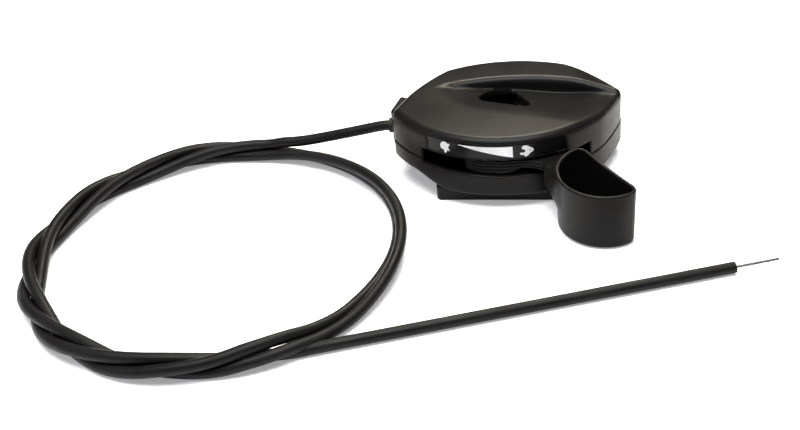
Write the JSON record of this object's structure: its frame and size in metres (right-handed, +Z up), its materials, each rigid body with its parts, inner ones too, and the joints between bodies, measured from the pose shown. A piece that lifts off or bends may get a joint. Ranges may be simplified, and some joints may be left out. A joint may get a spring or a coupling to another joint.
{
  "type": "lever throttle control with cable",
  "caption": "Two-shell lever throttle control with a pivoting finger cup, slow-to-fast label, mounting foot and a coiled push-pull cable with a bare wire end",
  "frame": {"origin": "axis of the mounting bolt, at the underside of the mounting foot", "axes": "+Z up along the bolt and pivot axis; +X along the housing, away from where the cable enters; -Y towards the side the lever comes out of"},
  "size_m": [0.3215, 0.1945, 0.0364],
  "materials": {
    "upper_shell": "satin black moulding",
    "lower_shell": "satin black moulding",
    "mounting_foot": "satin black moulding",
    "pivot_sleeve": "zinc plated steel tube",
    "friction_washer": "natural nylon",
    "wave_washer": "spring steel",
    "throttle_lever": "satin black moulding",
    "wire_anchor": "plain steel pin",
    "travel_stops": "black rubber",
    "shell_screws": "zinc plated steel",
    "label_strip": "glossy black film",
    "mark_slow": "white print",
    "mark_wedge": "white print",
    "mark_fast": "white print",
    "entry_grommet": "black rubber",
    "sheath_ferrule": "crimped steel",
    "cable_clamp": "zinc plated steel",
    "clamp_screw": "zinc plated steel",
    "inner_wire": "spring steel wire",
    "cable_lead": "black vinyl sheath",
    "cable_coil": "black vinyl sheath",
    "cable_tail": "black vinyl sheath",
    "cable_end_sleeve": "black vinyl sheath",
    "wire_tip": "spring steel wire"
  },
  "bodies": {
    "housing": {"upper_shell": "upper_shell", "lower_shell": "lower_shell", "mounting_foot": "mounting_foot", "pivot_sleeve": "pivot_sleeve", "friction_washer": "friction_washer", "wave_washer": "wave_washer", "travel_stops": "travel_stops", "shell_screws": "shell_screws", "label_strip": "label_strip", "mark_slow": "mark_slow", "mark_wedge": "mark_wedge", "mark_fast": "mark_fast", "entry_grommet": "entry_grommet", "sheath_ferrule": "sheath_ferrule", "cable_clamp": "cable_clamp", "clamp_screw": "clamp_screw", "cable_lead": "cable_lead", "cable_coil": "cable_coil", "cable_tail": "cable_tail", "cable_end_sleeve": "cable_end_sleeve"},
    "lever": {"throttle_lever": "throttle_lever", "wire_anchor": "wire_anchor"},
    "wire_head": {"inner_wire": "inner_wire"},
    "wire_end": {"wire_tip": "wire_tip"}
  },
  "joints": [
    {"name": "lever_swing", "type": "hinge", "parent": "housing", "child": "lever", "pos_m": [0, 0, 0.015], "axis": [0, 0, 1], "range_deg": [-47, 8]},
    {"name": "wire_head_slide", "type": "slide", "parent": "housing", "child": "wire_head", "axis": [1, 0, 0], "range_m": [-0.0091, 0.0016]},
    {"name": "wire_tip_slide", "type": "slide", "parent": "housing", "child": "wire_end", "axis": [-0.9583, -0.2857, 0], "range_m": [-0.0091, 0.0016]}
  ],
  "couplings": [
    {"joint": "wire_head_slide", "follows": "lever_swing", "m_per_rad": 0.01098},
    {"joint": "wire_tip_slide", "follows": "lever_swing", "m_per_rad": 0.01098}
  ]
}
